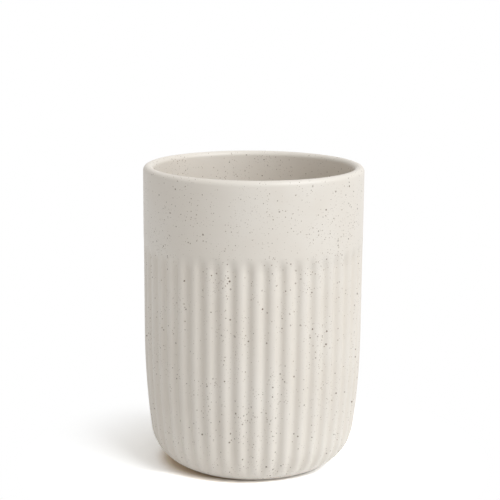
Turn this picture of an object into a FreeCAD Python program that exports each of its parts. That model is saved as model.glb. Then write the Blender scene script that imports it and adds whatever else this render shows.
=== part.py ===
import FreeCAD, Part
import math
import os

import Sketcher
from FreeCAD import Placement, Rotation, Vector

# Toothbrush holder: a heavy stoneware tumbler, fluted below a plain collar, on small non-slip pads.
# Millimetres. The origin is on the surface it stands on, under the middle of the tumbler, with Z up.

SIZES = (
    ("rim_diameter", 90.0, "outside diameter of the collar and lip"),
    ("overall_height", 125.0, "from the standing surface to the top of the lip"),
    ("wall_thickness", 4.2, "of the fired wall, which the round lip spans"),
    ("floor_thickness", 6.0, "from the foot recess up to the inside floor"),
    ("bow_height", 55.2, "height below which the wall bows inwards"),
    ("bow_radius", 314.5, "of the wall's slow inward curve"),
    ("base_round_radius", 17.3, "outside, from the wall under to the foot"),
    ("inner_round_radius", 12.0, "inside, from the wall to the floor"),
    ("foot_ring_width", 3.4, "of the unglazed ring round the foot recess"),
    ("foot_recess_depth", 1.2, "of the hollow under the foot that takes the pads"),
    ("collar_depth", 30.4, "from the top of the lip down to the tips of the flutes"),
    ("flute_count", 44, "flutes round the wall"),
    ("flute_depth", 1.3, "from the collar's surface to the bottom of a flute"),
    ("flute_valley_radius", 2.0, "of the hollow along the bottom of a flute"),
    ("flute_crest_drop", 0.05, "of the ridges below the collar's surface"),
    ("flute_runout_length", 6.6, "over which a flute rises to the collar's surface"),
    ("flute_runout_angle", 30.0, "degrees that the cutter swings out at a flute's tip"),
    ("flute_turn_ease", 6.7, "by which a flute turns under the base more widely than the base round"),
    ("flute_turn_lead", 0.8, "by which that turn starts above the base round"),
    ("flute_mouth_share", 1.06, "half width of the cutter, as a share of half a pitch"),
    ("flute_cutter_rise", 2.0, "of the cutter outside the wall"),
    ("pad_standoff", 0.3, "of the foot ring above the standing surface"),
    ("pad_diameter", 9.0, "of one non-slip pad"),
    ("pad_rim_gap", 0.95, "between a pad and the side of the foot recess"),
    ("pad_edge_radius", 0.4, "of the round on a pad's lower edge"),
    ("pad_count", 4, "non-slip pads under the foot"),
)

doc = FreeCAD.newDocument("toothbrush_holder")
dims = doc.addObject("Spreadsheet::Sheet", "dims")
for row, (alias, value, meaning) in enumerate(SIZES, start=1):
    dims.set(f"A{row}", meaning)
    dims.set(f"B{row}", str(value))
    dims.setAlias(f"B{row}", alias)
doc.recompute()

FULL_TURN = 360.0
VOLUME_TOLERANCE_SHARE = 0.001
PAD_TURN_SHARE = 0.5
UP = Vector(0, 0, 1)


def at(x, y):
    """A point of a sketch, in the sketch's own plane."""
    return Vector(x, y, 0)


def line(start, end):
    return Part.LineSegment(start, end)


def arc(centre, radius, first_angle, last_angle):
    """An arc drawn anticlockwise between two angles in radians."""
    return Part.ArcOfCircle(Part.Circle(centre, UP, radius), first_angle, last_angle)


def origin_feature(body, role):
    """One of the body's own origin planes or axes."""
    return next(f for f in body.Origin.OriginFeatures if f.Role == role)


def new_sketch(body, name, plane_role):
    sketch = body.newObject("Sketcher::SketchObject", name)
    sketch.AttachmentSupport = (origin_feature(body, plane_role), [""])
    sketch.MapMode = "FlatFace"
    return sketch


def relate(sketch, *relations):
    """Adds relations between elements, each as a kind and the elements it names."""
    sketch.addConstraint([Sketcher.Constraint(*relation) for relation in relations])


def dimension(sketch, name, formula, kind, *elements):
    """Adds a named dimension that follows the sheet."""
    value = float(sketch.evalExpression(formula))
    start = math.radians(value) if kind == "Angle" else value
    index = sketch.addConstraint(Sketcher.Constraint(kind, *elements, start))
    sketch.renameConstraint(index, name)
    sketch.setExpression(f"Constraints.{name}", formula)


def follow(feature, prop, formula):
    """Binds a property of a feature to the sheet."""
    feature.setExpression(prop, formula)


# Values worked out from the sheet, as the sketches' starting places
RIM_RADIUS = dims.rim_diameter / 2
LIP_RADIUS = dims.wall_thickness / 2
BOW_CENTRE = at(RIM_RADIUS - dims.bow_radius, dims.bow_height)
ROOF_HEIGHT = dims.pad_standoff + dims.foot_recess_depth
FLOOR_HEIGHT = ROOF_HEIGHT + dims.floor_thickness


def round_under_bow(bow_radius, round_radius, flat_height):
    """Centre of a round tangent to the bow and to a flat, and the angle where it meets the bow."""
    reach = bow_radius - round_radius
    angle = math.asin((dims.bow_height - flat_height - round_radius) / reach)
    centre = at(BOW_CENTRE.x + reach * math.cos(angle), flat_height + round_radius)
    return centre, angle


# Tumbler: one sector of the wall and floor, with the middle of a flute on the X axis
tumbler = doc.addObject("PartDesign::Body", "tumbler")
tumbler.Label = "tumbler"

base_centre, base_angle = round_under_bow(
    dims.bow_radius, dims.base_round_radius, dims.pad_standoff
)
inner_bow_radius = dims.bow_radius - dims.wall_thickness
inner_centre, inner_angle = round_under_bow(
    inner_bow_radius, dims.inner_round_radius, FLOOR_HEIGHT
)
recess_radius = base_centre.x - dims.foot_ring_width
lip_centre = at(RIM_RADIUS - LIP_RADIUS, dims.overall_height - LIP_RADIUS)
mouth_radius = RIM_RADIUS - dims.wall_thickness

wall = new_sketch(tumbler, "wall_section", "XZ_Plane")
ROOF, RECESS, RING, BASE_ROUND, BOW, COLLAR = range(6)
LIP, MOUTH, INNER_BOW, INNER_ROUND, FLOOR, AXIS = range(6, 12)
ORIGIN, X_AXIS, Y_AXIS = -1, -1, -2
START, END, CENTRE = 1, 2, 3
wall.addGeometry(
    [
        line(at(0, ROOF_HEIGHT), at(recess_radius, ROOF_HEIGHT)),
        line(at(recess_radius, ROOF_HEIGHT), at(recess_radius, dims.pad_standoff)),
        line(at(recess_radius, dims.pad_standoff), at(base_centre.x, dims.pad_standoff)),
        arc(base_centre, dims.base_round_radius, -math.pi / 2, -base_angle),
        arc(BOW_CENTRE, dims.bow_radius, -base_angle, 0),
        line(at(RIM_RADIUS, dims.bow_height), at(RIM_RADIUS, lip_centre.y)),
        arc(lip_centre, LIP_RADIUS, 0, math.pi),
        line(at(mouth_radius, lip_centre.y), at(mouth_radius, dims.bow_height)),
        arc(BOW_CENTRE, inner_bow_radius, -inner_angle, 0),
        arc(inner_centre, dims.inner_round_radius, -math.pi / 2, -inner_angle),
        line(at(inner_centre.x, FLOOR_HEIGHT), at(0, FLOOR_HEIGHT)),
        line(at(0, FLOOR_HEIGHT), at(0, ROOF_HEIGHT)),
    ],
    False,
)
relate(
    wall,
    ("PointOnObject", ROOF, START, Y_AXIS),
    ("Horizontal", ROOF),
    ("Coincident", ROOF, END, RECESS, START),
    ("Vertical", RECESS),
    ("Coincident", RECESS, END, RING, START),
    ("Horizontal", RING),
    ("Tangent", RING, END, BASE_ROUND, START),
    ("Tangent", BASE_ROUND, END, BOW, START),
    ("Tangent", BOW, END, COLLAR, START),
    ("Vertical", COLLAR),
    ("Tangent", COLLAR, END, LIP, START),
    ("Tangent", LIP, END, MOUTH, START),
    ("Vertical", MOUTH),
    ("Tangent", MOUTH, END, INNER_BOW, END),
    ("Coincident", INNER_BOW, CENTRE, BOW, CENTRE),
    ("Tangent", INNER_BOW, START, INNER_ROUND, END),
    ("Tangent", INNER_ROUND, START, FLOOR, START),
    ("Horizontal", FLOOR),
    ("Coincident", FLOOR, END, AXIS, START),
    ("Coincident", AXIS, END, ROOF, START),
    ("Vertical", AXIS),
)
dimension(wall, "standoff", "dims.pad_standoff", "DistanceY", ORIGIN, START, RING, START)
dimension(wall, "recess_depth", "dims.foot_recess_depth", "DistanceY", RING, START, ROOF, END)
dimension(wall, "ring_width", "dims.foot_ring_width", "DistanceX", RING, START, RING, END)
dimension(wall, "base_round", "dims.base_round_radius", "Radius", BASE_ROUND)
dimension(wall, "bow", "dims.bow_radius", "Radius", BOW)
dimension(wall, "bow_start", "dims.bow_height", "DistanceY", ORIGIN, START, BOW, CENTRE)
dimension(wall, "rim_radius", "dims.rim_diameter / 2", "DistanceX", ORIGIN, START, COLLAR, END)
LIP_CENTRE_HEIGHT = "dims.overall_height - dims.wall_thickness / 2"
dimension(wall, "lip_height", LIP_CENTRE_HEIGHT, "DistanceY", ORIGIN, START, LIP, CENTRE)
dimension(wall, "lip_round", "dims.wall_thickness / 2", "Radius", LIP)
dimension(wall, "inner_round", "dims.inner_round_radius", "Radius", INNER_ROUND)
dimension(wall, "floor_depth", "dims.floor_thickness", "DistanceY", ROOF, END, FLOOR, START)

sector = tumbler.newObject("PartDesign::Revolution", "wall_sector")
sector.Profile = wall
sector.ReferenceAxis = (wall, ["V_Axis"])
sector.Midplane = True
follow(sector, "Angle", "360 / dims.flute_count")
doc.recompute()

# Flute: a hollow between two rounded ridges, drawn level with the place where it reaches its full depth
FULL_DEPTH_HEIGHT = "dims.overall_height - dims.collar_depth - dims.flute_runout_length"
half_pitch_angle = math.pi / dims.flute_count
crest_radius = RIM_RADIUS - dims.flute_crest_drop
valley_line = RIM_RADIUS - dims.flute_depth
valley_x = valley_line + dims.flute_valley_radius
level_valley_x = valley_x * math.cos(half_pitch_angle)
ridge_radius = (
    crest_radius**2 - 2 * crest_radius * level_valley_x + valley_x**2 - dims.flute_valley_radius**2
) / (2 * (crest_radius - level_valley_x + dims.flute_valley_radius))
ridge_centre = at(
    (crest_radius - ridge_radius) * math.cos(half_pitch_angle),
    (crest_radius - ridge_radius) * math.sin(half_pitch_angle),
)
mirror_centre = at(ridge_centre.x, -ridge_centre.y)
crest = at(crest_radius * math.cos(half_pitch_angle), crest_radius * math.sin(half_pitch_angle))
mouth_y = dims.flute_mouth_share * RIM_RADIUS * math.sin(half_pitch_angle)
mouth_angle = math.asin((mouth_y - ridge_centre.y) / ridge_radius)
mouth_x = ridge_centre.x + ridge_radius * math.cos(mouth_angle)
meeting_angle = math.atan2(ridge_centre.y, valley_x - ridge_centre.x)
outside_x = RIM_RADIUS + dims.flute_cutter_rise
swing_x = valley_line + dims.flute_runout_length**2 / (2 * dims.flute_depth)

flute = new_sketch(tumbler, "flute_section", "XY_Plane")
follow(flute, ".AttachmentOffset.Base.z", FULL_DEPTH_HEIGHT)
VALLEY, RIDGE, RIDGE_2, SIDE, BACK, SIDE_2, CREST_RAY, CREST_RAY_2, SWING_AXIS = range(9)
flute.addGeometry(
    [
        arc(at(valley_x, 0), dims.flute_valley_radius, math.pi - meeting_angle, math.pi + meeting_angle),
        arc(ridge_centre, ridge_radius, -meeting_angle, mouth_angle),
        arc(mirror_centre, ridge_radius, -mouth_angle, meeting_angle),
        line(at(mouth_x, mouth_y), at(outside_x, mouth_y)),
        line(at(outside_x, mouth_y), at(outside_x, -mouth_y)),
        line(at(outside_x, -mouth_y), at(mouth_x, -mouth_y)),
    ],
    False,
)
flute.addGeometry(
    [
        line(at(0, 0), crest),
        line(at(0, 0), at(crest.x, -crest.y)),
        line(at(swing_x, 0), at(swing_x, mouth_y)),
    ],
    True,
)
relate(
    flute,
    ("PointOnObject", VALLEY, CENTRE, X_AXIS),
    ("Tangent", VALLEY, START, RIDGE, START),
    ("Tangent", VALLEY, END, RIDGE_2, END),
    ("Coincident", RIDGE, END, SIDE, START),
    ("Horizontal", SIDE),
    ("Coincident", SIDE, END, BACK, START),
    ("Vertical", BACK),
    ("Coincident", BACK, END, SIDE_2, START),
    ("Horizontal", SIDE_2),
    ("Coincident", SIDE_2, END, RIDGE_2, START),
    ("Coincident", CREST_RAY, START, ORIGIN, START),
    ("PointOnObject", RIDGE, CENTRE, CREST_RAY),
    ("PointOnObject", CREST_RAY, END, RIDGE),
    ("Coincident", CREST_RAY_2, START, ORIGIN, START),
    ("PointOnObject", RIDGE_2, CENTRE, CREST_RAY_2),
    ("PointOnObject", CREST_RAY_2, END, RIDGE_2),
    ("PointOnObject", SWING_AXIS, START, X_AXIS),
    ("Vertical", SWING_AXIS),
)
HALF_PITCH = "180 / dims.flute_count"
HALF_MOUTH = "dims.flute_mouth_share * dims.rim_diameter / 2 * sin(180deg / dims.flute_count)"
CREST_RADIUS = "dims.rim_diameter / 2 - dims.flute_crest_drop"
VALLEY_LINE = "dims.rim_diameter / 2 - dims.flute_depth"
VALLEY_CENTRE = f"{VALLEY_LINE} + dims.flute_valley_radius"
CUTTER_BACK = "dims.rim_diameter / 2 + dims.flute_cutter_rise"
SWING_PLACE = f"{VALLEY_LINE} + dims.flute_runout_length^2 / (2 * dims.flute_depth)"
dimension(flute, "half_pitch", HALF_PITCH, "Angle", X_AXIS, START, CREST_RAY, START)
dimension(flute, "half_pitch_2", HALF_PITCH, "Angle", CREST_RAY_2, START, X_AXIS, START)
dimension(flute, "crest", CREST_RADIUS, "Distance", CREST_RAY)
dimension(flute, "crest_2", CREST_RADIUS, "Distance", CREST_RAY_2)
dimension(flute, "valley_round", "dims.flute_valley_radius", "Radius", VALLEY)
dimension(flute, "valley_place", VALLEY_CENTRE, "DistanceX", ORIGIN, START, VALLEY, CENTRE)
dimension(flute, "mouth", HALF_MOUTH, "DistanceY", ORIGIN, START, RIDGE, END)
dimension(flute, "mouth_2", HALF_MOUTH, "DistanceY", RIDGE_2, START, ORIGIN, START)
dimension(flute, "outside", CUTTER_BACK, "DistanceX", ORIGIN, START, BACK, START)
dimension(flute, "swing", SWING_PLACE, "DistanceX", ORIGIN, START, SWING_AXIS, START)
dimension(flute, "swing_length", HALF_MOUTH, "DistanceY", SWING_AXIS, START, SWING_AXIS, END)

# Path of the flute's bottom line: straight, along the bow, then turning under the base to leave the wall
TURN_HEIGHT = (
    "dims.bow_height - (dims.bow_radius - dims.flute_depth)"
    " * (dims.bow_height - dims.pad_standoff - dims.base_round_radius)"
    " / (dims.bow_radius - dims.base_round_radius) + dims.flute_turn_lead"
)
path = new_sketch(tumbler, "flute_path", "XZ_Plane")
full_depth_height = float(path.evalExpression(FULL_DEPTH_HEIGHT))
turn_height = float(path.evalExpression(TURN_HEIGHT))
path_bow_radius = dims.bow_radius - dims.flute_depth
turn_angle = math.asin((dims.bow_height - turn_height) / path_bow_radius)
turn_radius = dims.base_round_radius + dims.flute_turn_ease
turn_reach = path_bow_radius - turn_radius
turn_centre = at(
    BOW_CENTRE.x + turn_reach * math.cos(turn_angle),
    dims.bow_height - turn_reach * math.sin(turn_angle),
)
leave_angle = math.asin(turn_centre.y / turn_radius)
STRAIGHT, PATH_BOW, TURN = range(3)
path.addGeometry(
    [
        line(at(valley_line, full_depth_height), at(valley_line, dims.bow_height)),
        arc(BOW_CENTRE, path_bow_radius, -turn_angle, 0),
        arc(turn_centre, turn_radius, -leave_angle, -turn_angle),
    ],
    False,
)
relate(
    path,
    ("Vertical", STRAIGHT),
    ("Tangent", STRAIGHT, END, PATH_BOW, END),
    ("Tangent", PATH_BOW, START, TURN, END),
    ("PointOnObject", TURN, START, X_AXIS),
)
dimension(path, "valley_line", VALLEY_LINE, "DistanceX", ORIGIN, START, STRAIGHT, START)
dimension(path, "full_depth", FULL_DEPTH_HEIGHT, "DistanceY", ORIGIN, START, STRAIGHT, START)
dimension(path, "bow_start", "dims.bow_height", "DistanceY", ORIGIN, START, PATH_BOW, CENTRE)
dimension(path, "path_bow", "dims.bow_radius - dims.flute_depth", "Radius", PATH_BOW)
dimension(path, "turn_start", TURN_HEIGHT, "DistanceY", ORIGIN, START, PATH_BOW, START)
dimension(path, "turn", "dims.base_round_radius + dims.flute_turn_ease", "Radius", TURN)
doc.recompute()

flute_run = tumbler.newObject("PartDesign::SubtractivePipe", "flute_run")
flute_run.Profile = flute
flute_run.Spine = (path, ["Edge1", "Edge2", "Edge3"])
doc.recompute()

flute_tip = tumbler.newObject("PartDesign::Groove", "flute_tip")
flute_tip.Profile = flute
flute_tip.ReferenceAxis = (flute, ["Axis2"])
follow(flute_tip, "Angle", "dims.flute_runout_angle")
doc.recompute()

fluted_wall = tumbler.newObject("PartDesign::PolarPattern", "fluted_wall")
fluted_wall.TransformMode = "Whole shape"
fluted_wall.Axis = (origin_feature(tumbler, "Z_Axis"), [""])
fluted_wall.Angle = FULL_TURN
follow(fluted_wall, "Occurrences", "dims.flute_count")
tumbler.Tip = fluted_wall
doc.recompute()

# Non-slip pads, stuck to the roof of the foot recess, a small gap inside its round side
RECESS_RADIUS = (
    "dims.rim_diameter / 2 - dims.bow_radius"
    " + sqrt((dims.bow_radius - dims.base_round_radius)^2"
    " - (dims.bow_height - dims.pad_standoff - dims.base_round_radius)^2)"
    " - dims.foot_ring_width"
)
PAD_REACH = f"{RECESS_RADIUS} - dims.pad_rim_gap - dims.pad_diameter / 2"
pad_reach = recess_radius - dims.pad_rim_gap - dims.pad_diameter / 2
pads = []
pad_count = int(dims.pad_count)
for number in range(pad_count):
    pad = doc.addObject("PartDesign::Body", f"foot_pad_{number + 1}")
    pad.Label = f"foot_pad_{number + 1}"
    outline = new_sketch(pad, f"pad_outline_{number + 1}", "XY_Plane")
    outline.addGeometry(Part.Circle(at(pad_reach, 0), UP, dims.pad_diameter / 2), False)
    relate(outline, ("PointOnObject", 0, CENTRE, X_AXIS))
    dimension(outline, "reach", PAD_REACH, "DistanceX", ORIGIN, START, 0, CENTRE)
    dimension(outline, "pad_size", "dims.pad_diameter", "Diameter", 0)
    disc = pad.newObject("PartDesign::Pad", f"pad_disc_{number + 1}")
    disc.Profile = outline
    follow(disc, "Length", "dims.pad_standoff + dims.foot_recess_depth")
    doc.recompute()
    lowest = disc.Shape.BoundBox.ZMin
    edges = [f"Edge{i + 1}" for i, e in enumerate(disc.Shape.Edges) if e.BoundBox.ZMax == lowest]
    soft_edge = pad.newObject("PartDesign::Fillet", f"pad_edge_{number + 1}")
    soft_edge.Base = (disc, edges)
    follow(soft_edge, "Radius", "dims.pad_edge_radius")
    pad.Tip = soft_edge
    pad_turn = FULL_TURN * (number + PAD_TURN_SHARE) / pad_count
    pad.Placement = Placement(Vector(0, 0, 0), Rotation(UP, pad_turn))
    pads.append(pad)
doc.recompute()

# Each flute takes the same share of the wall, so the whole is as many sectors as there are flutes
plain, cut, tipped = sector.Shape.Volume, flute_run.Shape.Volume, flute_tip.Shape.Volume
if not plain > cut > tipped:
    raise RuntimeError("a flute cut nothing from the wall")
whole = tipped * dims.flute_count
if not math.isclose(tumbler.Shape.Volume, whole, rel_tol=VOLUME_TOLERANCE_SHARE):
    raise RuntimeError("the fluted wall is not complete")

os.makedirs("parts", exist_ok=True)
for item in doc.Objects:
    if "Invalid" in item.State or "Error" in item.State:
        raise RuntimeError(f"{item.Label} could not be built")
for piece in (tumbler, *pads):
    shape = piece.Shape
    if shape.isNull() or not shape.isValid() or len(shape.Solids) != 1:
        raise RuntimeError(f"{piece.Label} is not one valid solid")
    shape.exportStep(f"parts/{piece.Label}.step")
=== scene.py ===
import math
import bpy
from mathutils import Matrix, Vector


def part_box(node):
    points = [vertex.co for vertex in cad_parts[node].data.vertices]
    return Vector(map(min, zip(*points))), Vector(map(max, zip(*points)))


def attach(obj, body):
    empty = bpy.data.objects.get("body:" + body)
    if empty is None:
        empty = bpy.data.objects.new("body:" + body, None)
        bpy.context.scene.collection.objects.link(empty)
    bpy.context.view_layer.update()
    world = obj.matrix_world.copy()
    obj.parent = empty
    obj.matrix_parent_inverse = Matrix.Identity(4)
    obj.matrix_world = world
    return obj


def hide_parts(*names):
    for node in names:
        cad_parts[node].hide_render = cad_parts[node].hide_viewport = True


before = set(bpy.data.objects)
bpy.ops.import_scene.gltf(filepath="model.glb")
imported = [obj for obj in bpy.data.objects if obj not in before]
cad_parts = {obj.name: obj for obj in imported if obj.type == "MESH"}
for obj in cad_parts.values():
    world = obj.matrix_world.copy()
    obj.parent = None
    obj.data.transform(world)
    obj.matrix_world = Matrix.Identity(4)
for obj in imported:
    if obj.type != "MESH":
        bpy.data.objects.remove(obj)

from types import SimpleNamespace
from typing import NamedTuple

import bmesh
import bpy
from bpy.props import FloatProperty, FloatVectorProperty, IntProperty, PointerProperty
from mathutils import Matrix, Vector

bl_info = {
    "name": "Fluted toothbrush holder",
    "version": (1, 0, 0),
    "blender": (4, 5, 0),
    "location": "View3D > Sidebar > Holder",
    "description": "Makes a speckled stoneware tumbler, fluted below its collar, its pads and a stage",
    "category": "Add Mesh",
}

# Lengths are in metres and angles in radians
BODY = "root"
PAD_NODES = sorted(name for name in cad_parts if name.startswith("foot_pad_"))
TUMBLER_LOW, TUMBLER_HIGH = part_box("tumbler")
PAD_LOW, PAD_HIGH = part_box(PAD_NODES[0])
PAD_CENTRE = (PAD_LOW + PAD_HIGH) / 2
PAD_TURN = math.atan2(PAD_CENTRE.y, PAD_CENTRE.x)
FULL_TURN = math.tau
HALF_TURN = math.pi
QUARTER_TURN = math.pi / 2
MERGE_DISTANCE = 2e-6
BAKE_MAP = "OFBake"
WHITE = (1.0, 1.0, 1.0)
NEAREST_SEEN = 0.01

# Rows of points along each part of the outlines
TUMBLER_ROWS = SimpleNamespace(
    recess_roof=6,
    ring_edge=4,
    recess_side=2,
    ring=4,
    base_round=32,
    bow=16,
    wall=10,
    tips=24,
    collar=8,
    lip=15,
    mouth=12,
    inner_bow=9,
    inner_round=11,
    floor=8,
)
PAD_ROWS = SimpleNamespace(sole=8, edge=7, side=5, top=6)


# Patterns in the glaze, the clay and the silicone

class Pattern(NamedTuple):
    """An uneven pattern: how many of its patches lie in a metre, how fine it goes, and how roughly"""

    scale: float
    detail: float
    roughness: float = 0.5


class Grains(NamedTuple):
    """Grains in the clay, one to a cell of space in a share of the cells, and their radii"""

    cell: float
    kept: float
    smallest: float
    largest: float


GLAZE_CLOUDS = Pattern(38.0, 3.0, 0.55)
GLAZE_PEEL = Pattern(260.0, 2.0)
CLAY_GRAIN = Pattern(1700.0, 3.0, 0.6)
SPECK_CROWDS = Pattern(75.0, 3.0)
SPECK_EDGES = Pattern(2400.0, 2.0)
SILICONE_CLOUDS = Pattern(420.0, 3.0)
SILICONE_TEXTURE = Pattern(3800.0, 2.0)

IRON = Grains(0.0018, 0.42, 0.00018, 0.00046)
ASH = Grains(0.00125, 0.55, 0.00014, 0.00034)
DUST = Grains(0.00085, 0.50, 0.00010, 0.00022)

# Share of a speck's radius inside which it is at full strength
SPECK_CORE = 0.7

# Ends of the patterns between which each finish sets in
PATTERN_MIDDLE = 0.5
THIN_GLAZE_ENDS = (0.30, 0.72)
POOLED_GLAZE_ENDS = (0.15, 1.0)
COARSE_GRAIN_ENDS = (0.62, 0.78)
SPECK_CROWD_ENDS = (0.42, 0.66)


# Settings that a user would change

def length(name, default, description):
    return FloatProperty(
        name=name,
        description=description,
        default=default,
        min=0.0,
        precision=5,
        unit="LENGTH",
        subtype="DISTANCE",
    )


def count(name, default, description):
    return IntProperty(name=name, description=description, default=default, min=1)


def share(name, default, description):
    return FloatProperty(
        name=name,
        description=description,
        default=default,
        min=0.0,
        max=1.0,
        precision=3,
        subtype="FACTOR",
    )


def amount(name, default, description):
    return FloatProperty(name=name, description=description, default=default, min=0.0, precision=3)


def turn(name, default, description):
    return FloatProperty(
        name=name,
        description=description,
        default=math.radians(default),
        precision=4,
        unit="ROTATION",
        subtype="ANGLE",
    )


def colour(name, default, description):
    return FloatVectorProperty(
        name=name, description=description, default=default, size=3, min=0.0, max=1.0, subtype="COLOR"
    )


class TumblerSizes(bpy.types.PropertyGroup):
    """Sizes of the stoneware tumbler"""

    rim_diameter: length("Rim Diameter", TUMBLER_HIGH.x - TUMBLER_LOW.x, "Outside, of the collar and lip")
    overall_height: length("Overall Height", TUMBLER_HIGH.z, "From the floor to the top of the lip")
    foot_height: length("Foot Height", TUMBLER_LOW.z, "Of the foot ring above the standing surface")
    recess_height: length("Recess Height", PAD_HIGH.z, "Of the foot recess above the standing surface")
    wall_thickness: length("Wall Thickness", 0.0042, "Of the wall, which the round lip spans")
    floor_thickness: length("Floor Thickness", 0.006, "From the foot recess up to the inside floor")
    bow_height: length("Bow Height", 0.0552, "Height below which the wall bows inwards")
    bow_radius: length("Bow Radius", 0.3145, "Of the wall's slow inward curve")
    base_round: length("Base Round", 0.0173, "Radius outside, from the wall under to the foot")
    inner_round: length("Inner Round", 0.012, "Radius inside, from the wall to the floor")
    foot_ring_width: length("Foot Ring Width", 0.0034, "Of the bare ring round the foot recess")
    foot_ring_round: length("Foot Ring Round", 0.0004, "Radius of the worn edges of the foot ring")
    collar_depth: length("Collar Depth", 0.0293, "From the top of the lip down to the tips of the flutes")
    flute_count: count("Flute Count", 44, "Flutes round the wall")
    flute_depth: length("Flute Depth", 0.0013, "From the collar's surface to the bottom of a flute")
    valley_radius: length("Valley Radius", 0.002, "Of the hollow along the bottom of a flute")
    crest_drop: length("Crest Drop", 0.00005, "Of the ridges below the collar's surface")
    runout_length: length("Run-out Length", 0.0069, "Over which a flute fades into the collar")
    turn_radius: length("Turn Radius", 0.024, "Of a flute's bottom line as it turns under the base")
    turn_lead: length("Turn Lead", 0.0008, "By which that turn starts above the base round")
    glaze_softening: length("Glaze Softening", 0.00022, "By which the glaze softens the edges of a flute")
    steps_per_flute: count("Steps per Flute", 12, "Columns of faces across one flute")
    valley_crowding: share("Valley Crowding", 0.42, "How much closer the columns stand in a valley")


class PadSizes(bpy.types.PropertyGroup):
    """Sizes of the non-slip pads"""

    pad_diameter: length("Pad Diameter", 0.009, "Of one pad")
    pad_height: length("Pad Height", PAD_HIGH.z, "From the standing surface to the foot recess")
    pad_edge_round: length("Pad Edge Round", 0.0004, "Radius of the round on a pad's lower edge")
    pad_reach: length("Pad Reach", Vector(PAD_CENTRE[:2]).length, "Of a pad's centre from the axis")
    pad_count: count("Pad Count", len(PAD_NODES), "Pads under the foot")
    pad_segments: count("Pad Segments", 48, "Faces round a pad")


class StonewareFinish(bpy.types.PropertyGroup):
    """Colours and surface of the glazed stoneware"""

    glaze: colour("Glaze", (0.786, 0.722, 0.645), "Cream glaze over pale clay")
    thin_glaze: colour("Thin Glaze", (0.820, 0.764, 0.693), "Where the glaze is thin")
    pooled_glaze: colour("Pooled Glaze", (0.700, 0.640, 0.545), "Where the glaze gathers in the flutes")
    iron_speck: colour("Iron Speck", (0.120, 0.068, 0.036), "Strong specks of burnt iron")
    ash_speck: colour("Ash Speck", (0.310, 0.235, 0.170), "Grey specks deeper in the glaze")
    bare_clay: colour("Bare Clay", (0.540, 0.430, 0.310), "Unglazed clay of the foot ring")
    roughness: share("Roughness", 0.46, "Of the satin glaze")
    grain_roughness: share("Grain Roughness", 0.10, "By which the clay's grain varies it")
    peel_roughness: share("Peel Roughness", 0.08, "By which the glaze's gentle waves vary it")
    bare_roughness: share("Bare Roughness", 0.38, "By which bare clay is rougher than the glaze")
    speck_shine: share("Speck Shine", 0.06, "By which an iron speck is smoother than the glaze")
    pooling: share("Pooling", 0.1, "How much the pooled glaze shows in the flutes")
    mottling: share("Mottling", 0.16, "How much the pooled glaze shows over coarse clay")
    ash_strength: share("Ash Strength", 0.7, "How much an ash speck shows")
    dust_strength: share("Dust Strength", 0.55, "How much the finest ash shows")
    iron_least: share("Iron Least", 0.45, "How much the palest iron speck shows")
    iron_range: share("Iron Range", 0.5, "By which the strongest iron speck shows more")
    sparse_specks: amount("Sparse Specks", 0.35, "Specks where they are fewest, against their share")
    crowded_specks: amount("Crowded Specks", 2.0, "By which there are more where they crowd")
    speck_raggedness: length("Speck Raggedness", 0.00028, "Of the outlines of the specks")
    wiped_full: length("Wiped Full", 0.0003, "Height above the foot up to which the glaze is wiped off")
    wiped_end: length("Wiped End", 0.0006, "Height above the foot from which the glaze is whole")
    wiped_waver: length("Wiped Waver", 0.0003, "By which that edge goes up and down")
    peel_relief: length("Peel Relief", 0.00004, "Height of the glaze's gentle waves")
    grain_relief: length("Grain Relief", 0.000018, "Height of the clay's grain under the glaze")
    bare_relief: length("Bare Relief", 0.00005, "Height that the grain gains on bare clay")
    speck_dip: length("Speck Dip", 0.00003, "Depth of the glaze over an iron speck")
    relief_strength: share("Relief Strength", 0.6, "How much of that relief shows")


class SiliconeFinish(bpy.types.PropertyGroup):
    """Colours and surface of the pads"""

    silicone: colour("Silicone", (0.560, 0.555, 0.535), "Cloudy silicone of the pads")
    pale_silicone: colour("Pale Silicone", (0.6272, 0.6216, 0.5992), "Where the silicone is cloudiest")
    pad_roughness: share("Pad Roughness", 0.52, "Of the pads at their smoothest")
    texture_roughness: share("Texture Roughness", 0.2, "By which their moulded texture roughens them")
    pad_relief: length("Pad Relief", 0.00003, "Height of that texture")
    pad_relief_strength: share("Pad Relief Strength", 0.5, "How much of that relief shows")


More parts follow.
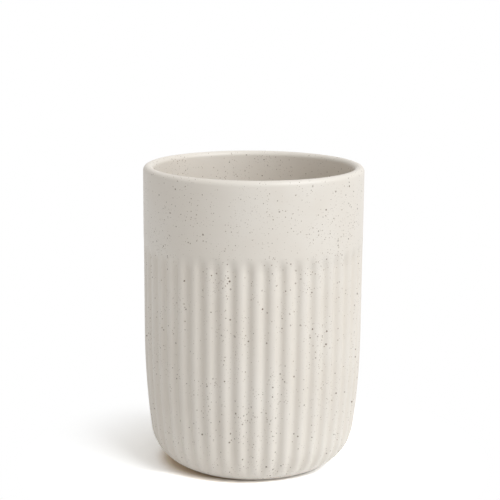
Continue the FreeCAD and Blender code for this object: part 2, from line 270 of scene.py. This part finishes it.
class StageSettings(bpy.types.PropertyGroup):
    """Light, floor and camera"""

    key_strength: amount("Key Strength", 0.692, "Of the broad light from the right")
    key_tint: colour("Key Tint", (0.925, 0.965, 1.0), "Of that light")
    key_spread: turn("Key Spread", 40.0, "How broad that light is")
    key_heading: turn("Key Heading", 33.0, "Of that light, from the right towards the front")
    key_height: turn("Key Height", 48.0, "Of that light above the floor")
    ambient: amount("Ambient", 0.44, "Even light from all round")
    ambient_tint: colour("Ambient Tint", (1.0, 0.993, 0.972), "Of that light")
    floor_size: length("Floor Size", 24.0, "Side of the square floor")
    floor_white: share("Floor White", 0.82, "Light that the floor throws back on the object")
    floor_glow: amount("Floor Glow", 1.72, "Brightness of the floor as seen, against the light on it")
    # Painted light: the floor in front of the foot is shown this much brighter, which washes out its real
    # shadow there
    painted_front_light: amount("Painted Front Light", 6.2, "The same brightness well in front of the foot")
    painted_light_start: length("Painted Light Start", 0.0174, "In front of the axis, where that brightness sets in")
    painted_light_full: length("Painted Light Full", 0.0424, "In front of the axis, where it is reached")
    # Painted shadow: a warm dark tint that the floor shows round the foot, centred left of the axis
    painted_shadow_tint: colour("Painted Shadow Tint", (0.96, 0.77, 0.57), "Of the floor in the contact shadow")
    painted_shadow_left: length("Painted Shadow Left", 0.008, "Of the contact shadow's middle, left of the axis")
    painted_shadow_near: length("Painted Shadow Near", 0.0255, "Radius inside which the contact tint is full")
    painted_shadow_far: length("Painted Shadow Far", 0.0342, "Radius outside which there is none of it")
    shadow_start: length("Shadow Start", 0.04, "From the axis, up to which the floor shows its shadow")
    shadow_reach: length("Shadow Reach", 0.10, "From the axis, past which the floor is plain white")
    lens: FloatProperty(
        name="Lens",
        description="Focal length for a 36 mm sensor",
        default=98.06,
        precision=2,
        unit="CAMERA",
    )
    camera_heading: turn("Camera Heading", 2.0, "By which the camera stands to the right of the front")
    camera_side: FloatProperty(
        name="Camera Side",
        description="Of the camera, to the right of the axis",
        default=0.00286,
        precision=5,
        unit="LENGTH",
    )
    camera_distance: length("Camera Distance", 0.55, "Of the camera, in front of the axis")
    camera_height: length("Camera Height", 0.20423, "Of the camera above the floor")
    camera_pitch: turn("Camera Pitch", 11.79, "By which the camera looks down")
    camera_yaw: turn("Camera Yaw", -0.434, "By which the camera looks to the right")
    camera_roll: turn("Camera Roll", 0.395, "By which the camera leans")


# Node trees

class NodeValue:
    """A number in a node tree, which arithmetic extends with Math nodes"""

    def __init__(self, tree, source):
        self.tree = tree
        self.source = source

    def math(self, operation, *others):
        node = self.tree.nodes.new("ShaderNodeMath")
        node.operation = operation
        for socket, value in zip(node.inputs, (self, *others)):
            plug(self.tree, socket, value)
        return NodeValue(self.tree, node.outputs[0])

    def flipped(self, operation, other):
        return NodeValue(self.tree, other).math(operation, self)

    def __add__(self, other):
        return self.math("ADD", other)

    def __sub__(self, other):
        return self.math("SUBTRACT", other)

    def __mul__(self, other):
        return self.math("MULTIPLY", other)

    def __truediv__(self, other):
        return self.math("DIVIDE", other)

    def __rsub__(self, other):
        return self.flipped("SUBTRACT", other)

    def __rtruediv__(self, other):
        return self.flipped("DIVIDE", other)

    def __neg__(self):
        return self * -1.0

    __radd__ = __add__
    __rmul__ = __mul__

    def squared(self):
        return self * self

    def root(self):
        return self.math("MAXIMUM", 0.0).math("SQRT")

    def choose(self, when_one, when_zero):
        """The first value where this one is 1, and the second where it is 0"""
        return self * when_one + (1.0 - self) * when_zero


def plug(tree, socket, value):
    """Links a value to a socket, or sets the socket where the value is plain"""
    source = value.source if isinstance(value, NodeValue) else value
    if isinstance(source, bpy.types.NodeSocket):
        tree.links.new(source, socket)
    else:
        socket.default_value = source


def add_node(tree, kind, inputs, **settings):
    node = tree.nodes.new(kind)
    for name, value in settings.items():
        setattr(node, name, value)
    for name, value in inputs.items():
        plug(tree, node.inputs[name], value)
    return node


def xyz(tree, x, y, z):
    return add_node(tree, "ShaderNodeCombineXYZ", {0: x, 1: y, 2: z}).outputs[0]


def parts_of(tree, vector):
    node = add_node(tree, "ShaderNodeSeparateXYZ", {0: vector})
    return [NodeValue(tree, socket) for socket in node.outputs]


def own_properties(settings):
    return [p for p in settings.bl_rna.properties if p.identifier not in ("rna_type", "name")]


def new_shape_tree(name, settings):
    """A geometry tree with an input for each setting and one for the material"""
    tree = bpy.data.node_groups.new(name, "GeometryNodeTree")
    kinds = {"FLOAT": "NodeSocketFloat", "INT": "NodeSocketInt"}
    for prop in own_properties(settings):
        socket = tree.interface.new_socket(prop.name, in_out="INPUT", socket_type=kinds[prop.type])
        socket.description = prop.description
    tree.interface.new_socket("Material", in_out="INPUT", socket_type="NodeSocketMaterial")
    tree.interface.new_socket("Geometry", in_out="OUTPUT", socket_type="NodeSocketGeometry")
    given = tree.nodes.new("NodeGroupInput").outputs
    values = {p.identifier: NodeValue(tree, given[p.name]) for p in own_properties(settings)}
    return tree, SimpleNamespace(material=given["Material"], **values)


def close_shape_tree(tree, geometry, material):
    """Ends a tree in smooth faces, real instances and the material"""
    smooth = add_node(tree, "GeometryNodeSetShadeSmooth", {"Geometry": geometry})
    real = add_node(tree, "GeometryNodeRealizeInstances", {"Geometry": smooth.outputs[0]})
    finished = add_node(
        tree, "GeometryNodeSetMaterial", {"Geometry": real.outputs[0], "Material": material}
    )
    add_node(tree, "NodeGroupOutput", {"Geometry": finished.outputs[0]})


def made_piece(name, tree, settings, material):
    """Runs a tree and leaves its result as a plain closed mesh on a new object"""
    empty_mesh = bpy.data.meshes.new(name)
    piece = bpy.data.objects.new(name, empty_mesh)
    bpy.context.scene.collection.objects.link(piece)
    modifier = piece.modifiers.new(name, "NODES")
    modifier.node_group = tree
    sockets = {s.name: s.identifier for s in tree.interface.items_tree if s.in_out == "INPUT"}
    for prop in own_properties(settings):
        modifier[sockets[prop.name]] = getattr(settings, prop.identifier)
    modifier[sockets["Material"]] = material
    depsgraph = bpy.context.evaluated_depsgraph_get()
    piece.data = bpy.data.meshes.new_from_object(piece.evaluated_get(depsgraph))
    piece.data.name = name
    piece.modifiers.clear()
    bpy.data.meshes.remove(empty_mesh)
    check_closed(piece)
    return piece


def check_closed(piece):
    shell = bmesh.new()
    shell.from_mesh(piece.data)
    open_edges = sum(not edge.is_manifold for edge in shell.edges)
    volume = shell.calc_volume(signed=True)
    shell.free()
    if open_edges or volume <= 0:
        raise RuntimeError(f"{piece.name} has {open_edges} open edges and a volume of {volume}")


# Lathe profiles: runs and arcs in order, from the axis underneath to the axis on top

class Profile:
    """Runs and arcs of a turned outline, drawn with the radius along X and the height along Y"""

    def __init__(self, tree):
        self.tree = tree
        self.strips = []

    def keep(self, curve, facing, fluted):
        """Keeps a strip with the way that its surface faces, and whether flutes run over it"""
        faced = stored(self.tree, curve, "facing", facing, "FLOAT_VECTOR")
        self.strips.append(stored(self.tree, faced, "fluted", float(fluted), "FLOAT"))

    def run(self, start, end, rows, fluted=False):
        line = add_node(
            self.tree,
            "GeometryNodeCurvePrimitiveLine",
            {"Start": xyz(self.tree, *start, 0.0), "End": xyz(self.tree, *end, 0.0)},
        )
        rowed = add_node(
            self.tree, "GeometryNodeResampleCurve", {"Curve": line.outputs[0], "Count": rows}
        )
        along_radius, along_height = (last - first for first, last in zip(start, end))
        self.keep(rowed.outputs[0], xyz(self.tree, along_height, 0.0 - along_radius, 0.0), fluted)

    def arc(self, centre, radius, first, sweep, rows, hollow=False, fluted=False):
        bend = add_node(
            self.tree,
            "GeometryNodeCurveArc",
            {"Resolution": rows, "Radius": radius, "Start Angle": first, "Sweep Angle": sweep},
            mode="RADIUS",
        )
        placed = add_node(
            self.tree,
            "GeometryNodeTransform",
            {"Geometry": bend.outputs[0], "Translation": xyz(self.tree, *centre, 0.0)},
        )
        place = self.tree.nodes.new("GeometryNodeInputPosition").outputs[0]
        ends = (place, xyz(self.tree, *centre, 0.0))
        outwards = add_node(
            self.tree,
            "ShaderNodeVectorMath",
            dict(enumerate(reversed(ends) if hollow else ends)),
            operation="SUBTRACT",
        )
        self.keep(placed.outputs[0], outwards.outputs[0], fluted)

    def points(self):
        """The outline's points in order"""
        joined = self.tree.nodes.new("GeometryNodeJoinGeometry")
        for strip in reversed(self.strips):
            self.tree.links.new(strip, joined.inputs[0])
        return add_node(
            self.tree, "GeometryNodeCurveToPoints", {"Curve": joined.outputs[0]}, mode="EVALUATED"
        ).outputs["Points"]


def stored(tree, geometry, name, value, kind, domain="POINT"):
    """Geometry that carries a named value"""
    node = add_node(
        tree,
        "GeometryNodeStoreNamedAttribute",
        {"Geometry": geometry, "Name": name, "Value": value},
        data_type=kind,
        domain=domain,
    )
    return node.outputs[0]


def named(tree, name, kind):
    """A value that geometry carries by its name"""
    return add_node(tree, "GeometryNodeInputNamedAttribute", {"Name": name}, data_type=kind).outputs[0]


def measured(tree, points, place, index):
    """Points of an outline that carry how far along it they lie, from 0 to 1"""
    before = sampled(tree, points, place, index - 1.0, "FLOAT_VECTOR")
    step = add_node(tree, "ShaderNodeVectorMath", {0: place, 1: before}, operation="DISTANCE")
    run = add_node(tree, "GeometryNodeAccumulateField", {0: step.outputs["Value"]}).outputs
    along = NodeValue(tree, run["Leading"]) / NodeValue(tree, run["Total"])
    return stored(tree, points, "along", along, "FLOAT")


def sampled(tree, points, value, index, kind):
    node = add_node(
        tree,
        "GeometryNodeSampleIndex",
        {"Geometry": points, "Value": value, "Index": index},
        data_type=kind,
        domain="POINT",
        clamp=True,
    )
    return node.outputs[0]


class Lathe:
    """A sheet of faces with a column for each step round the axis and a row for each outline point"""

    def __init__(self, tree, profile, columns):
        index = NodeValue(tree, tree.nodes.new("GeometryNodeInputIndex").outputs[0])
        place = tree.nodes.new("GeometryNodeInputPosition").outputs[0]
        points = measured(tree, profile.points(), place, index)
        size = add_node(tree, "GeometryNodeAttributeDomainSize", {0: points}, component="POINTCLOUD")
        rows = NodeValue(tree, size.outputs["Point Count"])
        row = index.math("MODULO", rows).math("ROUND")
        faced = sampled(tree, points, named(tree, "facing", "FLOAT_VECTOR"), row, "FLOAT_VECTOR")
        unit = add_node(tree, "ShaderNodeVectorMath", {0: faced}, operation="NORMALIZE")
        self.tree = tree
        self.column = ((index + 0.5) / rows).math("FLOOR")
        self.radius, self.height, _ = parts_of(tree, sampled(tree, points, place, row, "FLOAT_VECTOR"))
        self.out, self.up, _ = parts_of(tree, unit.outputs[0])
        fluted = sampled(tree, points, named(tree, "fluted", "FLOAT"), row, "FLOAT")
        self.fluted = NodeValue(tree, fluted)

        grid = add_node(tree, "GeometryNodeMeshGrid", {"Vertices X": columns + 1.0, "Vertices Y": rows})
        along = sampled(tree, points, named(tree, "along", "FLOAT"), row, "FLOAT")
        wrap = xyz(tree, self.column / columns, along, 0.0)
        marked = stored(tree, grid.outputs["Mesh"], "wrap", wrap, "FLOAT_VECTOR")
        kept_wrap = named(tree, "wrap", "FLOAT_VECTOR")
        self.sheet = stored(tree, marked, BAKE_MAP, kept_wrap, "FLOAT2", "CORNER")

    def turned(self, angle, depth):
        """Turns the sheet round the axis, sunk by a depth, and closes its seam and poles"""
        radius = self.radius - self.out * depth
        place = xyz(
            self.tree,
            radius * angle.math("COSINE"),
            radius * angle.math("SINE"),
            self.height - self.up * depth,
        )
        bent = add_node(self.tree, "GeometryNodeSetPosition", {"Geometry": self.sheet, "Position": place})
        closed = add_node(
            self.tree,
            "GeometryNodeMergeByDistance",
            {"Geometry": bent.outputs[0], "Distance": MERGE_DISTANCE},
        )
        return closed.outputs[0]


def round_under_bow(given, bow_radius, round_radius, flat_height):
    """Radius at which a round ends on a flat, and the angle below level where it meets the bow"""
    reach = bow_radius - round_radius
    drop = given.bow_height - flat_height - round_radius
    across = (reach.squared() - drop.squared()).root()
    return given.rim_diameter / 2.0 - given.bow_radius + across, (drop / reach).math("ARCSINE")


def tumbler_profile(tree, given):
    rim = given.rim_diameter / 2.0
    lip = given.wall_thickness / 2.0
    lip_height = given.overall_height - lip
    mouth = rim - given.wall_thickness
    floor_height = given.recess_height + given.floor_thickness
    bow_centre = (rim - given.bow_radius, given.bow_height)
    inner_bow = given.bow_radius - given.wall_thickness
    base_flat, base_angle = round_under_bow(given, given.bow_radius, given.base_round, given.foot_height)
    inner_flat, inner_angle = round_under_bow(given, inner_bow, given.inner_round, floor_height)
    recess = base_flat - given.foot_ring_width
    edge = given.foot_ring_round
    tips_low = given.overall_height - given.collar_depth - given.runout_length
    tips_high = tips_low + given.runout_length
    base_height = given.foot_height + given.base_round
    inner_height = floor_height + given.inner_round

    base_sweep = QUARTER_TURN - base_angle
    inner_sweep = inner_angle - QUARTER_TURN
    roof_edge = (recess - edge, given.recess_height - edge)
    ring_edge = (recess + edge, given.foot_height + edge)
    base_centre = (base_flat, base_height)
    inner_centre = (inner_flat, inner_height)
    inner_round = given.inner_round
    rows = TUMBLER_ROWS

    profile = Profile(tree)
    profile.run((0.0, given.recess_height), (recess - edge, given.recess_height), rows.recess_roof)
    profile.arc(roof_edge, edge, QUARTER_TURN, -QUARTER_TURN, rows.ring_edge, hollow=True)
    profile.run(
        (recess, given.recess_height - edge), (recess, given.foot_height + edge), rows.recess_side
    )
    profile.arc(ring_edge, edge, -HALF_TURN, QUARTER_TURN, rows.ring_edge)
    profile.run((recess + edge, given.foot_height), (base_flat, given.foot_height), rows.ring)
    profile.arc(base_centre, given.base_round, -QUARTER_TURN, base_sweep, rows.base_round, fluted=True)
    profile.arc(bow_centre, given.bow_radius, -base_angle, base_angle, rows.bow, fluted=True)
    profile.run((rim, given.bow_height), (rim, tips_low), rows.wall, fluted=True)
    profile.run((rim, tips_low), (rim, tips_high), rows.tips, fluted=True)
    profile.run((rim, tips_high), (rim, lip_height), rows.collar)
    profile.arc((rim - lip, lip_height), lip, 0.0, HALF_TURN, rows.lip)
    profile.run((mouth, lip_height), (mouth, given.bow_height), rows.mouth)
    profile.arc(bow_centre, inner_bow, 0.0, -inner_angle, rows.inner_bow, hollow=True)
    profile.arc(inner_centre, inner_round, -inner_angle, inner_sweep, rows.inner_round, hollow=True)
    profile.run((inner_flat, floor_height), (0.0, floor_height), rows.floor)
    return profile


def flute_bottom(given, lathe):
    """Depth of a flute's bottom line under the wall's surface, at the height of each row"""
    bow_centre = given.rim_diameter / 2.0 - given.bow_radius
    path_bow = given.bow_radius - given.flute_depth
    bow_drop = given.bow_height - given.foot_height - given.base_round
    turn_drop = path_bow * (bow_drop / (given.bow_radius - given.base_round)) - given.turn_lead
    turn_sine = turn_drop / path_bow
    turn_cosine = (1.0 - turn_sine.squared()).root()
    turn_reach = path_bow - given.turn_radius
    from_turn = lathe.radius - bow_centre - turn_reach * turn_cosine
    above_turn = lathe.height - given.bow_height + turn_reach * turn_sine
    outwards = from_turn * lathe.out + above_turn * lathe.up
    apart = from_turn.squared() + above_turn.squared()
    at_turn = outwards - (outwards.squared() - apart + given.turn_radius.squared()).root()

    turning = lathe.height.math("LESS_THAN", given.bow_height - turn_drop)
    return turning.choose(at_turn, given.flute_depth)


def flute_hollow(given, aside):
    """Height of the flute's section above its bottom line, at a distance aside from that line"""
    half_pitch = HALF_TURN / given.flute_count
    crest = given.rim_diameter / 2.0 - given.crest_drop
    bottom = given.rim_diameter / 2.0 - given.flute_depth
    valley = given.valley_radius
    centre = bottom + valley
    level = centre * half_pitch.math("COSINE")
    ridge = (crest.squared() - 2.0 * crest * level + centre.squared() - valley.squared()) / (
        2.0 * (crest - level + valley)
    )
    ridge_aside = (crest - ridge) * half_pitch.math("SINE")
    ridge_height = (crest - ridge) * half_pitch.math("COSINE") - bottom
    on_ridge = ridge_height + (ridge.squared() - (aside - ridge_aside).squared()).root()
    in_valley = valley - (valley.squared() - aside.squared()).root()
    meeting = ridge_aside * valley / (valley + ridge)
    return aside.math("LESS_THAN", meeting).choose(in_valley, on_ridge)


def fluted_tumbler_tree(settings):
    """The turned wall, with flutes that rise out at the collar and run out under the base"""
    tree, given = new_shape_tree("fluted_tumbler", settings)
    lathe = Lathe(tree, tumbler_profile(tree, given), given.flute_count * given.steps_per_flute)

    step = lathe.column / given.steps_per_flute
    pitches = step - (step * FULL_TURN).math("SINE") * given.valley_crowding / FULL_TURN
    pitch_angle = FULL_TURN / given.flute_count
    aside_angle = (pitches - pitches.math("ROUND")).math("ABSOLUTE") * pitch_angle
    aside = lathe.radius * aside_angle.math("SINE")
    turned_radius = lathe.radius.math("MAXIMUM", given.wall_thickness)
    falling_away = aside.squared() * lathe.out / (turned_radius * 2.0)
    cut = flute_bottom(given, lathe) - flute_hollow(given, aside) - falling_away
    tips = given.overall_height - given.collar_depth
    sunk = faded(lathe.height, tips, tips - given.runout_length) * lathe.fluted
    depth = cut.math("SMOOTH_MAX", 0.0, given.glaze_softening) * sunk

    lathe.sheet = stored(tree, lathe.sheet, "hollow", depth / given.flute_depth, "FLOAT")
    close_shape_tree(tree, lathe.turned(pitches * pitch_angle, depth), given.material)
    return tree


def foot_pads_tree(settings):
    """Turned pads, one at each place on a ring"""
    tree, given = new_shape_tree("foot_pads", settings)
    rim = given.pad_diameter / 2.0
    edge = given.pad_edge_round
    profile = Profile(tree)
    profile.run((0.0, 0.0), (rim - edge, 0.0), PAD_ROWS.sole)
    profile.arc((rim - edge, edge), edge, -QUARTER_TURN, QUARTER_TURN, PAD_ROWS.edge)
    profile.run((rim, edge), (rim, given.pad_height), PAD_ROWS.side)
    profile.run((rim, given.pad_height), (0.0, given.pad_height), PAD_ROWS.top)
    lathe = Lathe(tree, profile, given.pad_segments)
    pad = lathe.turned(lathe.column * FULL_TURN / given.pad_segments, NodeValue(tree, 0.0))

    ring = add_node(
        tree, "GeometryNodeMeshCircle", {"Vertices": given.pad_count, "Radius": given.pad_reach}
    )
    ring_turned = add_node(
        tree, "GeometryNodeTransform", {"Geometry": ring.outputs[0], "Rotation": (0.0, 0.0, PAD_TURN)}
    )
    placed = add_node(
        tree, "GeometryNodeInstanceOnPoints", {"Points": ring_turned.outputs[0], "Instance": pad}
    )
    number = tree.nodes.new("GeometryNodeInputIndex").outputs[0]
    numbered = stored(tree, placed.outputs[0], "pad", number, "FLOAT", "INSTANCE")
    real = add_node(tree, "GeometryNodeRealizeInstances", {"Geometry": numbered})
    around, along, _ = parts_of(tree, named(tree, BAKE_MAP, "FLOAT_VECTOR"))
    apart = (around + NodeValue(tree, named(tree, "pad", "FLOAT"))) / given.pad_count
    wrapped = stored(tree, real.outputs[0], BAKE_MAP, xyz(tree, apart, along, 0.0), "FLOAT2", "CORNER")
    close_shape_tree(tree, wrapped, given.material)
    return tree


# Materials

def new_material(name):
    material = bpy.data.materials.new(name)
    material.use_nodes = True
    tree = material.node_tree
    place = tree.nodes.new("ShaderNodeTexCoord").outputs["Object"]
    return material, tree, tree.nodes["Principled BSDF"], place


def noise(tree, place, pattern, output="Fac"):
    scale, detail, roughness = pattern
    node = add_node(
        tree,
        "ShaderNodeTexNoise",
        {"Vector": place, "Scale": scale, "Detail": detail, "Roughness": roughness},
    )
    return NodeValue(tree, node.outputs[output])


def faded(value, low, high):
    """0 below the low end, 1 above the high end, and smooth between them"""
    node = add_node(
        value.tree,
        "ShaderNodeMapRange",
        {"Value": value, "From Min": low, "From Max": high},
        interpolation_type="SMOOTHSTEP",
    )
    return NodeValue(value.tree, node.outputs[0])


def blended(tree, factor, first, second):
    """A colour that goes from the first to the second with a factor"""
    node = tree.nodes.new("ShaderNodeMix")
    node.data_type = "RGBA"
    plug(tree, node.inputs[0], factor)
    for socket, value in ((node.inputs[6], first), (node.inputs[7], second)):
        plug(tree, socket, value if isinstance(value, bpy.types.NodeSocket) else (*value, 1.0))
    return node.outputs[2]


def even(value):
    """The same value in all three channels of a colour or along all three axes"""
    return (value,) * 3


def raise_surface(tree, shader, relief, strength):
    bump = add_node(tree, "ShaderNodeBump", {"Strength": strength, "Distance": 1.0, "Height": relief})
    plug(tree, shader.inputs["Normal"], bump.outputs[0])


def specks(tree, place, grains, crowd):
    """Where the surface cuts through round grains, and a number of each grain's own for its tint"""
    cells = add_node(tree, "ShaderNodeTexVoronoi", {"Vector": place, "Scale": 1.0 / grains.cell})
    distance = NodeValue(tree, cells.outputs["Distance"]) * grains.cell
    drawn, sized, tinted = parts_of(tree, cells.outputs["Color"])
    size = grains.smallest + sized.squared() * (grains.largest - grains.smallest)
    there = drawn.math("LESS_THAN", crowd * grains.kept)
    return faded(distance / size, 1.0, SPECK_CORE) * there, tinted


def stoneware(finish, sizes):
    """Cream satin glaze over a clay full of iron specks, wiped off the foot ring"""
    material, tree, shader, place = new_material("speckled_stoneware")
    carried = add_node(tree, "ShaderNodeAttribute", {}, attribute_name="hollow")
    hollow = NodeValue(tree, carried.outputs["Fac"])
    ragged = noise(tree, place, SPECK_EDGES, "Color")
    shaken = add_node(
        tree,
        "ShaderNodeVectorMath",
        {0: ragged, 1: even(finish.speck_raggedness), 2: place},
        operation="MULTIPLY_ADD",
    ).outputs[0]

    clouds = noise(tree, place, GLAZE_CLOUDS)
    crowds = faded(noise(tree, place, SPECK_CROWDS), *SPECK_CROWD_ENDS)
    crowd = finish.sparse_specks + finish.crowded_specks * crowds
    iron, iron_tint = specks(tree, shaken, IRON, crowd)
    ash, _ = specks(tree, shaken, ASH, crowd)
    dust, _ = specks(tree, shaken, DUST, crowd)
    grain = noise(tree, place, CLAY_GRAIN)
    peel = noise(tree, place, GLAZE_PEEL)

    pooled = faded(hollow, *POOLED_GLAZE_ENDS) * finish.pooling
    mottled = faded(grain, *COARSE_GRAIN_ENDS) * finish.mottling
    greyed = (ash * finish.ash_strength).math("MAXIMUM", dust * finish.dust_strength)
    browned = iron * (finish.iron_least + finish.iron_range * iron_tint)
    base = blended(tree, faded(clouds, *THIN_GLAZE_ENDS), finish.glaze, finish.thin_glaze)
    base = blended(tree, pooled, base, finish.pooled_glaze)
    base = blended(tree, mottled, base, finish.pooled_glaze)
    base = blended(tree, greyed, base, finish.ash_speck)
    base = blended(tree, browned, base, finish.iron_speck)

    _, _, height = parts_of(tree, place)
    above_foot = height - sizes.foot_height + (clouds - PATTERN_MIDDLE) * finish.wiped_waver
    wiped = faded(above_foot, finish.wiped_end, finish.wiped_full)
    base = blended(tree, wiped, base, finish.bare_clay)
    plug(tree, shader.inputs["Base Color"], base)

    by_grain = (grain - PATTERN_MIDDLE) * finish.grain_roughness
    by_peel = (peel - PATTERN_MIDDLE) * finish.peel_roughness
    by_finish = wiped * finish.bare_roughness - iron * finish.speck_shine
    plug(tree, shader.inputs["Roughness"], finish.roughness + by_grain + by_peel + by_finish)
    glazed_relief = grain * finish.grain_relief + peel * finish.peel_relief - iron * finish.speck_dip
    relief = glazed_relief + wiped * grain * finish.bare_relief
    raise_surface(tree, shader, relief, finish.relief_strength)
    return material


def silicone(finish):
    """Cloudy soft silicone with a fine moulded texture"""
    material, tree, shader, place = new_material("cloudy_silicone")
    clouds = noise(tree, place, SILICONE_CLOUDS)
    texture = noise(tree, place, SILICONE_TEXTURE)
    cloudy = blended(tree, clouds, finish.silicone, finish.pale_silicone)
    plug(tree, shader.inputs["Base Color"], cloudy)
    plug(tree, shader.inputs["Roughness"], finish.pad_roughness + finish.texture_roughness * texture)
    raise_surface(tree, shader, texture * finish.pad_relief, finish.pad_relief_strength)
    return material


def ray_kind(tree, name):
    return NodeValue(tree, tree.nodes.new("ShaderNodeLightPath").outputs[name])


def seen_rays(tree):
    """1 for rays that show a thing, straight or mirrored, and 0 for those that light the object"""
    straight, mirrored, passed = (
        ray_kind(tree, name) for name in ("Is Camera Ray", "Is Glossy Ray", "Is Transmission Ray")
    )
    return straight.math("MAXIMUM", mirrored).math("MAXIMUM", passed)


def floor_material(stage):
    """White floor that keeps the object's soft shadow near it and is plain white further off; as the
    camera sees it, a warm painted shadow lies round the foot and painted light brightens the floor in
    front of it
    """
    material, tree, shader, place = new_material("white_floor")
    tree.nodes.remove(shader)
    x, y, _ = parts_of(tree, place)
    far = faded((x.squared() + y.squared()).root(), stage.shadow_start, stage.shadow_reach)
    # Painted shadow: inside this ring the floor is shown in a warm dark tint, whatever light falls on it
    from_painted_shadow = ((x + stage.painted_shadow_left).squared() + y.squared()).root()
    clear = faded(from_painted_shadow, stage.painted_shadow_near, stage.painted_shadow_far)
    # Painted light: in front of the foot the floor is shown far brighter, which washes out the shadow
    # there
    front = faded(y, -stage.painted_light_start, -stage.painted_light_full)
    glow_with_painted_front_light = blended(tree, front, even(stage.floor_glow), even(stage.painted_front_light))
    floor_with_painted_light_and_shadow = blended(tree, clear, stage.painted_shadow_tint, glow_with_painted_front_light)
    seen = seen_rays(tree)
    tone = blended(tree, seen, even(stage.floor_white), even(stage.floor_glow))
    # Camera rays see the painted shadow and the painted light; other rays see the plain floor
    tone = blended(tree, ray_kind(tree, "Is Camera Ray"), tone, floor_with_painted_light_and_shadow)
    near = add_node(tree, "ShaderNodeBsdfDiffuse", {"Color": tone}).outputs[0]
    white = add_node(tree, "ShaderNodeEmission", {"Strength": 1.0}).outputs[0]
    mixed = add_node(tree, "ShaderNodeMixShader", {0: far * seen, 1: near, 2: white})
    plug(tree, tree.nodes["Material Output"].inputs["Surface"], mixed.outputs[0])
    return material


# Operators

class MakeTumbler(bpy.types.Operator):
    """Makes the fluted stoneware tumbler"""

    bl_idname = "holder.make_tumbler"
    bl_label = "Make Tumbler"

    def execute(self, context):
        scene = context.scene
        tree = fluted_tumbler_tree(scene.holder_tumbler)
        clay = stoneware(scene.holder_stoneware, scene.holder_tumbler)
        tumbler = made_piece("fluted_tumbler", tree, scene.holder_tumbler, clay)
        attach(tumbler, BODY)
        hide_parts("tumbler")
        return {"FINISHED"}


class MakeFootPads(bpy.types.Operator):
    """Makes the non-slip pads under the foot"""

    bl_idname = "holder.make_foot_pads"
    bl_label = "Make Foot Pads"

    def execute(self, context):
        scene = context.scene
        tree = foot_pads_tree(scene.holder_pads)
        pads = made_piece("foot_pads", tree, scene.holder_pads, silicone(scene.holder_silicone))
        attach(pads, BODY)
        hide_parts(*PAD_NODES)
        return {"FINISHED"}


class SetStage(bpy.types.Operator):
    """Sets the white floor, the soft light and the camera"""

    bl_idname = "holder.set_stage"
    bl_label = "Set Stage"

    def execute(self, context):
        stage = context.scene.holder_stage
        lay_floor(context.scene, stage)
        light_stage(context.scene, stage)
        place_camera(context.scene, stage)
        context.scene.view_settings.view_transform = "Standard"
        return {"FINISHED"}


def lay_floor(scene, stage):
    half = stage.floor_size / 2
    mesh = bpy.data.meshes.new("floor")
    corners = [(-half, -half, 0), (half, -half, 0), (half, half, 0), (-half, half, 0)]
    mesh.from_pydata(corners, [], [range(len(corners))])
    mesh.materials.append(floor_material(stage))
    floor = bpy.data.objects.new("floor", mesh)
    scene.collection.objects.link(floor)


def light_stage(scene, stage):
    lamp = bpy.data.lights.new("key_light", "SUN")
    lamp.energy = stage.key_strength * math.pi
    lamp.angle = stage.key_spread
    lamp.color = stage.key_tint
    key = bpy.data.objects.new("key_light", lamp)
    heading, height = stage.key_heading, stage.key_height
    towards = Vector(
        (math.cos(heading) * math.cos(height), -math.sin(heading) * math.cos(height), math.sin(height))
    )
    key.rotation_euler = towards.to_track_quat("Z", "Y").to_euler()
    scene.collection.objects.link(key)

    world = bpy.data.worlds.new("white_room")
    world.use_nodes = True
    tree = world.node_tree
    background = tree.nodes["Background"]
    seen = seen_rays(tree)
    plug(tree, background.inputs["Color"], blended(tree, seen, stage.ambient_tint, WHITE))
    plug(tree, background.inputs["Strength"], seen.choose(1.0, stage.ambient))
    scene.world = world


def place_camera(scene, stage):
    pitch, yaw, roll = stage.camera_pitch, stage.camera_yaw, stage.camera_roll
    ahead = Vector((math.sin(yaw) * math.cos(pitch), math.cos(yaw) * math.cos(pitch), -math.sin(pitch)))
    right = Vector((math.cos(yaw), -math.sin(yaw), 0.0))
    up = right.cross(ahead)
    leaned_right = math.cos(roll) * right + math.sin(roll) * up
    leaned_up = math.cos(roll) * up - math.sin(roll) * right
    eye = bpy.data.cameras.new("camera")
    eye.lens = stage.lens
    eye.clip_start = NEAREST_SEEN
    camera = bpy.data.objects.new("camera", eye)
    place = Matrix.Translation((stage.camera_side, -stage.camera_distance, stage.camera_height))
    heading = Matrix.Rotation(stage.camera_heading, 4, "Z")
    facing = Matrix((leaned_right, leaned_up, -ahead)).transposed().to_4x4()
    camera.matrix_world = heading @ place @ facing
    scene.collection.objects.link(camera)
    scene.camera = camera


class HolderPanel(bpy.types.Panel):
    """Lists the settings and the steps"""

    bl_idname = "VIEW3D_PT_holder"
    bl_label = "Toothbrush Holder"
    bl_space_type = "VIEW_3D"
    bl_region_type = "UI"
    bl_category = "Holder"

    def draw(self, context):
        for operator, names in STEPS:
            box = self.layout.box()
            for name in names:
                settings = getattr(context.scene, name)
                for prop in own_properties(settings):
                    box.prop(settings, prop.identifier)
            box.operator(operator.bl_idname)


STEPS = (
    (MakeTumbler, ("holder_tumbler", "holder_stoneware")),
    (MakeFootPads, ("holder_pads", "holder_silicone")),
    (SetStage, ("holder_stage",)),
)
SETTINGS = {
    "holder_tumbler": TumblerSizes,
    "holder_pads": PadSizes,
    "holder_stoneware": StonewareFinish,
    "holder_silicone": SiliconeFinish,
    "holder_stage": StageSettings,
}
CLASSES = (*SETTINGS.values(), MakeTumbler, MakeFootPads, SetStage, HolderPanel)


def register():
    for cls in CLASSES:
        bpy.utils.register_class(cls)
    for name, cls in SETTINGS.items():
        setattr(bpy.types.Scene, name, PointerProperty(type=cls))


def unregister():
    for name in SETTINGS:
        delattr(bpy.types.Scene, name)
    for cls in reversed(CLASSES):
        bpy.utils.unregister_class(cls)


def main():
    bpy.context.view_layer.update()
    register()
    bpy.ops.holder.make_tumbler()
    bpy.ops.holder.make_foot_pads()
    bpy.ops.holder.set_stage()


if __name__ == "__main__":
    main()
